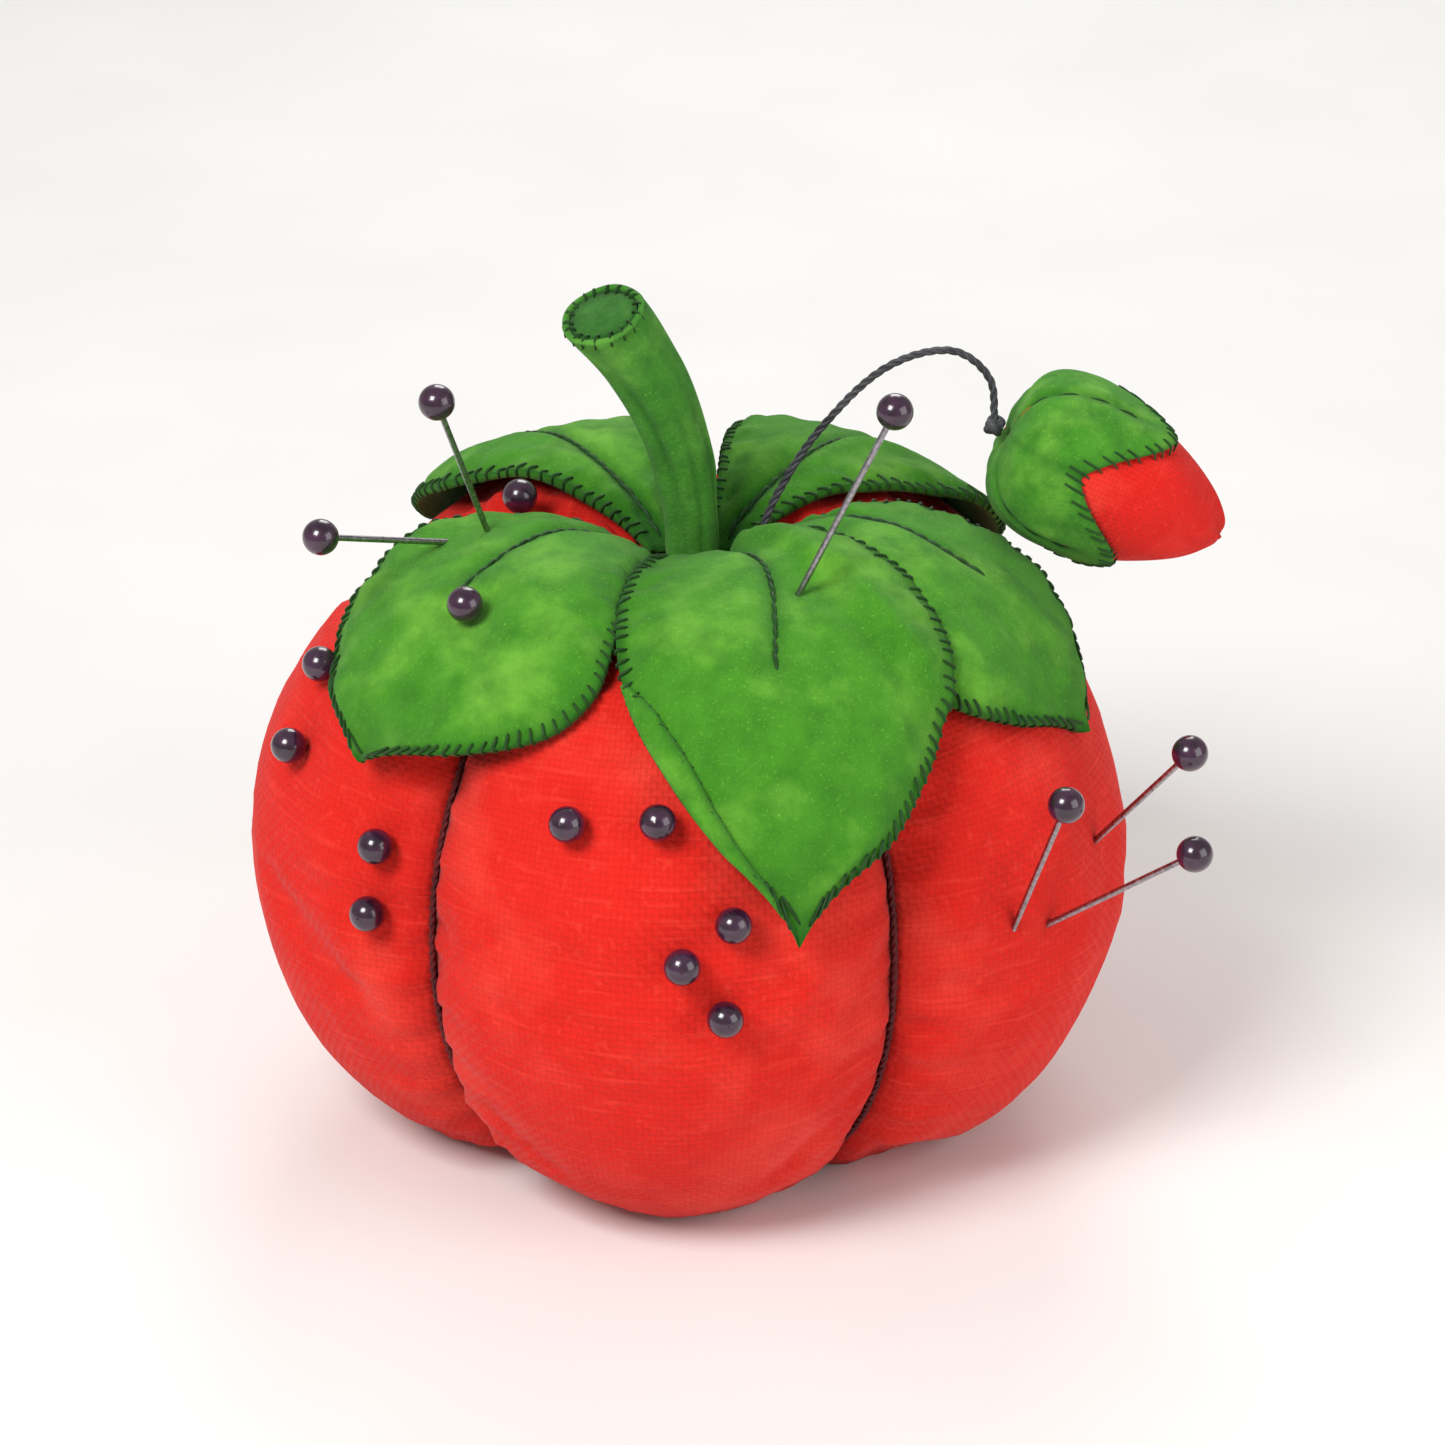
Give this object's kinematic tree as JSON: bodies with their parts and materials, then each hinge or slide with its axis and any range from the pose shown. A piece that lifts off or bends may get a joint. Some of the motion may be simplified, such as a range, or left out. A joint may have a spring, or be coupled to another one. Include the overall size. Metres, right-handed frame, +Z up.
{
  "type": "pin cushion",
  "caption": "Tomato-shaped pin cushion with puffed lobes, padded leaves, a soft stem, ball-headed pins and a small emery strawberry hanging on a cord",
  "frame": {"origin": "middle of the base disc's underside, on the table", "axes": "+Z up, +X to the right when the strawberry hangs on the right, -Y to the front"},
  "size_m": [0.1096, 0.1005, 0.1008],
  "materials": {
    "stuffing": "matte wool and sawdust stuffing",
    "red_cotton": "matte woven cotton",
    "tie_thread": "twisted thread",
    "base_felt": "matte felt",
    "leaf_felt": "matte felt, padded",
    "stem_cloth": "matte cloth",
    "stem_stuffing": "matte cotton wool",
    "stem_end_cloth": "matte cloth",
    "waxed_cord": "twisted waxed cord",
    "calyx_felt": "matte felt",
    "strawberry_cotton": "matte woven cotton",
    "emery": "black emery powder",
    "pin_steel": "polished steel wire",
    "pin_head": "glossy ball head"
  },
  "bodies": {
    "cushion": {"filling": "stuffing", "cover_gore_front": "red_cotton", "cover_gore_right": "red_cotton", "cover_gore_back_right": "red_cotton", "cover_gore_back_left": "red_cotton", "cover_gore_left": "red_cotton", "groove_threads": "tie_thread", "tie_strand": "tie_thread", "base_patch": "base_felt", "leaf_front": "leaf_felt", "leaf_right": "leaf_felt", "leaf_left": "leaf_felt"},
    "leaf_back_right": {"leaf_back_right": "leaf_felt"},
    "leaf_back_left": {"leaf_back_left": "leaf_felt"},
    "stem": {"stem_sleeve": "stem_cloth", "stem_core": "stem_stuffing", "stem_end_cap": "stem_end_cloth"},
    "cord_root": {"cord_anchor_knot": "waxed_cord"},
    "cord": {"emery_cord": "waxed_cord"},
    "emery": {"cord_end_knot": "waxed_cord", "strawberry_calyx": "calyx_felt", "strawberry_bag": "strawberry_cotton", "emery_filling": "emery"},
    "pin_01": {"pin_01_head": "pin_head", "pin_01_shank": "pin_steel"},
    "pin_02": {"pin_02_head": "pin_head", "pin_02_shank": "pin_steel"},
    "pin_03": {"pin_03_head": "pin_head", "pin_03_shank": "pin_steel"},
    "pin_04": {"pin_04_head": "pin_head", "pin_04_shank": "pin_steel"},
    "pin_05": {"pin_05_head": "pin_head", "pin_05_shank": "pin_steel"},
    "pin_06": {"pin_06_head": "pin_head", "pin_06_shank": "pin_steel"},
    "pin_07": {"pin_07_head": "pin_head", "pin_07_shank": "pin_steel"},
    "pin_08": {"pin_08_head": "pin_head", "pin_08_shank": "pin_steel"},
    "pin_09": {"pin_09_head": "pin_head", "pin_09_shank": "pin_steel"},
    "pin_10": {"pin_10_head": "pin_head", "pin_10_shank": "pin_steel"},
    "pin_11": {"pin_11_head": "pin_head", "pin_11_shank": "pin_steel"},
    "pin_12": {"pin_12_head": "pin_head", "pin_12_shank": "pin_steel"},
    "pin_13": {"pin_13_head": "pin_head", "pin_13_shank": "pin_steel"},
    "pin_14": {"pin_14_head": "pin_head", "pin_14_shank": "pin_steel"},
    "pin_15": {"pin_15_head": "pin_head", "pin_15_shank": "pin_steel"},
    "pin_16": {"pin_16_head": "pin_head", "pin_16_shank": "pin_steel"},
    "pin_17": {"pin_17_head": "pin_head", "pin_17_shank": "pin_steel"}
  },
  "joints": [
    {"name": "stem_bend", "type": "hinge", "parent": "cushion", "child": "stem", "pos_m": [0, 0, 0.066], "axis": [0, 1, 0], "range_deg": [-12, 12]},
    {"name": "cord_swivel", "type": "hinge", "parent": "cushion", "child": "cord_root", "pos_m": [0.0073, 0.0017, 0.0684], "axis": [0, 0, 1], "range_deg": [-8, 20]},
    {"name": "cord_lift", "type": "hinge", "parent": "cord_root", "child": "cord", "pos_m": [0.0073, 0.0017, 0.0684], "axis": [0, -1, 0], "range_deg": [0, 30]},
    {"name": "emery_swing", "type": "hinge", "parent": "cord", "child": "emery", "pos_m": [0.03402, 0.0032, 0.08221], "axis": [0, -1, 0], "range_deg": [0, 45]},
    {"name": "leaf_back_right_lift", "type": "hinge", "parent": "cushion", "child": "leaf_back_right", "pos_m": [0.00327, 0.00404, 0.06609], "axis": [0.7771, -0.6293, 0], "range_deg": [0, 20]},
    {"name": "leaf_back_left_lift", "type": "hinge", "parent": "cushion", "child": "leaf_back_left", "pos_m": [-0.00291, 0.00431, 0.06609], "axis": [0.829, 0.5592, 0], "range_deg": [0, 30]},
    {"name": "pin_01_slide", "type": "slide", "parent": "cushion", "child": "pin_01", "axis": [-0.2388, -0.3677, 0.8988], "range_m": [-0.0176, 0.022]},
    {"name": "pin_02_slide", "type": "slide", "parent": "cushion", "child": "pin_02", "axis": [-0.0868, 0.1504, 0.9848], "range_m": [-0.0007, 0.039]},
    {"name": "pin_03_slide", "type": "slide", "parent": "cushion", "child": "pin_03", "axis": [-0.6956, -0.6486, 0.309], "range_m": [-0.004, 0.024]},
    {"name": "pin_04_slide", "type": "slide", "parent": "cushion", "child": "pin_04", "axis": [-0.3473, -0.3597, 0.866], "range_m": [0, 0.0399]},
    {"name": "pin_05_slide", "type": "slide", "parent": "cushion", "child": "pin_05", "axis": [-0.7362, -0.3591, 0.5736], "range_m": [0, 0.0399]},
    {"name": "pin_06_slide", "type": "slide", "parent": "cushion", "child": "pin_06", "axis": [-0.8002, -0.4808, 0.3584], "range_m": [0, 0.0399]},
    {"name": "pin_07_slide", "type": "slide", "parent": "cushion", "child": "pin_07", "axis": [-0.4424, -0.8682, 0.225], "range_m": [0, 0.0399]},
    {"name": "pin_08_slide", "type": "slide", "parent": "cushion", "child": "pin_08", "axis": [-0.4836, -0.8725, 0.0698], "range_m": [0, 0.0399]},
    {"name": "pin_09_slide", "type": "slide", "parent": "cushion", "child": "pin_09", "axis": [-0.3395, -0.8403, 0.4226], "range_m": [0, 0.0399]},
    {"name": "pin_10_slide", "type": "slide", "parent": "cushion", "child": "pin_10", "axis": [-0.1066, -0.8681, 0.4848], "range_m": [0, 0.0399]},
    {"name": "pin_11_slide", "type": "slide", "parent": "cushion", "child": "pin_11", "axis": [0.2357, -0.9454, 0.2249], "range_m": [0, 0.0399]},
    {"name": "pin_12_slide", "type": "slide", "parent": "cushion", "child": "pin_12", "axis": [0.0346, -0.9897, 0.1392], "range_m": [0, 0.0399]},
    {"name": "pin_13_slide", "type": "slide", "parent": "cushion", "child": "pin_13", "axis": [0.1736, -0.9847, 0.0174], "range_m": [0, 0.0399]},
    {"name": "pin_14_slide", "type": "slide", "parent": "cushion", "child": "pin_14", "axis": [0.2049, -0.4394, 0.8746], "range_m": [-0.0178, 0.02]},
    {"name": "pin_15_slide", "type": "slide", "parent": "cushion", "child": "pin_15", "axis": [0.4557, -0.4719, 0.7547], "range_m": [-0.017, 0.022]},
    {"name": "pin_16_slide", "type": "slide", "parent": "cushion", "child": "pin_16", "axis": [0.6698, -0.435, 0.6018], "range_m": [-0.0192, 0.02]},
    {"name": "pin_17_slide", "type": "slide", "parent": "cushion", "child": "pin_17", "axis": [0.4162, -0.0734, 0.9063], "range_m": [-0.0217, 0.018]}
  ]
}
